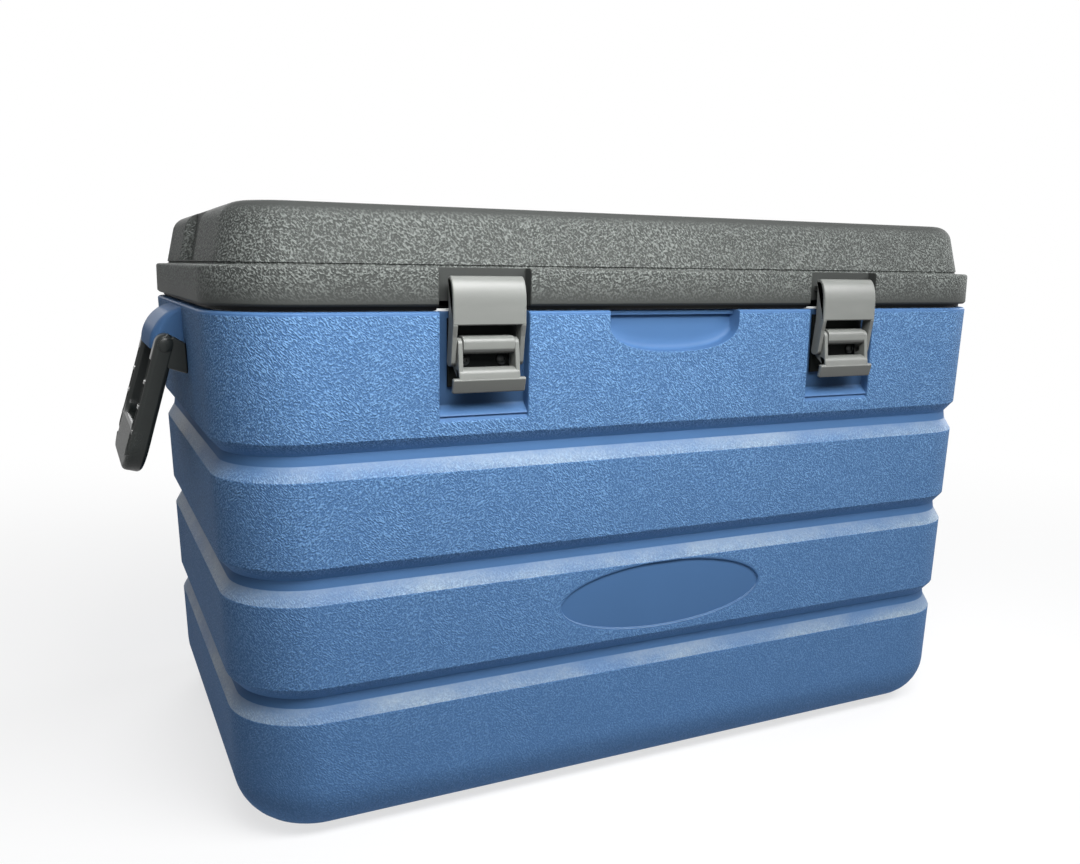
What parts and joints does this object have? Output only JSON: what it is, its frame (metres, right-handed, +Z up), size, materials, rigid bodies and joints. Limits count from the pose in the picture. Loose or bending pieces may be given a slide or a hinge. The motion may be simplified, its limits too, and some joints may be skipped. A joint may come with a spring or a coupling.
{
  "type": "insulated vaccine carrier box",
  "caption": "Hard-sided insulated carry box with a hinged crowned lid, draw latches on the front, swing handles at the ends and grooves round the case.",
  "frame": {"origin": "on the floor, at the middle of the box's footprint", "axes": "+X along the width, from the left handle to the right one; the latches face -Y and the lid's hinges are on +Y; +Z up"},
  "size_m": [0.6834, 0.3855, 0.393],
  "materials": {
    "body_blue": "pebbled moulded plastic",
    "lid_grey": "pebbled moulded plastic",
    "liner_white": "smooth moulded plastic",
    "foam": "rigid foam, sealed inside",
    "gasket": "soft seal",
    "latch_grey": "satin moulded plastic",
    "hinge_grey": "smooth moulded plastic",
    "handle_black": "satin moulded plastic",
    "pin_steel": "bright turned steel",
    "screw_steel": "dull plated steel"
  },
  "bodies": {
    "case": {"outer_shell": "body_blue", "body_foam": "foam", "inner_liner": "liner_white", "latch_bracket_screws": "screw_steel", "hinge_body_screws": "screw_steel", "left_latch_bracket": "latch_grey", "left_lever_pin": "pin_steel", "left_hinge_body_leaf": "hinge_grey", "left_hinge_pin": "pin_steel", "left_handle_pins": "pin_steel", "right_latch_bracket": "latch_grey", "right_lever_pin": "pin_steel", "right_hinge_body_leaf": "hinge_grey", "right_hinge_pin": "pin_steel", "right_handle_pins": "pin_steel"},
    "lid": {"lid_shell": "lid_grey", "lid_foam": "foam", "lid_liner": "liner_white", "lid_gasket": "gasket", "hinge_lid_screws": "screw_steel", "left_hinge_lid_leaf": "hinge_grey", "right_hinge_lid_leaf": "hinge_grey"},
    "left_lever": {"left_latch_lever": "latch_grey", "left_strap_pins": "pin_steel"},
    "left_strap": {"left_latch_strap": "latch_grey"},
    "left_bail": {"left_handle": "handle_black"},
    "right_lever": {"right_latch_lever": "latch_grey", "right_strap_pins": "pin_steel"},
    "right_strap": {"right_latch_strap": "latch_grey"},
    "right_bail": {"right_handle": "handle_black"}
  },
  "joints": [
    {"name": "lid_hinge", "type": "hinge", "parent": "case", "child": "lid", "pos_m": [0, 0.19, 0.3315], "axis": [-1, 0, 0], "range_deg": [0, 100]},
    {"name": "left_latch_lever_hinge", "type": "hinge", "parent": "case", "child": "left_lever", "pos_m": [-0.1385, -0.1825, 0.31], "axis": [-1, 0, 0], "range_deg": [0, 110]},
    {"name": "left_latch_strap_hinge", "type": "hinge", "parent": "left_lever", "child": "left_strap", "pos_m": [-0.1385, -0.181, 0.3005], "axis": [1, 0, 0], "range_deg": [0, 110]},
    {"name": "left_handle_hinge", "type": "hinge", "parent": "case", "child": "left_bail", "pos_m": [-0.312, 0, 0.304], "axis": [0, 1, 0], "range_deg": [0, 95]},
    {"name": "right_latch_lever_hinge", "type": "hinge", "parent": "case", "child": "right_lever", "pos_m": [0.1435, -0.1825, 0.31], "axis": [-1, 0, 0], "range_deg": [0, 110]},
    {"name": "right_latch_strap_hinge", "type": "hinge", "parent": "right_lever", "child": "right_strap", "pos_m": [0.1435, -0.181, 0.3005], "axis": [1, 0, 0], "range_deg": [0, 110]},
    {"name": "right_handle_hinge", "type": "hinge", "parent": "case", "child": "right_bail", "pos_m": [0.312, 0, 0.304], "axis": [0, -1, 0], "range_deg": [0, 95]}
  ],
  "couplings": [
    {"joint": "left_latch_strap_hinge", "follows": "left_latch_lever_hinge", "ratio": 1},
    {"joint": "right_latch_strap_hinge", "follows": "right_latch_lever_hinge", "ratio": 1}
  ]
}
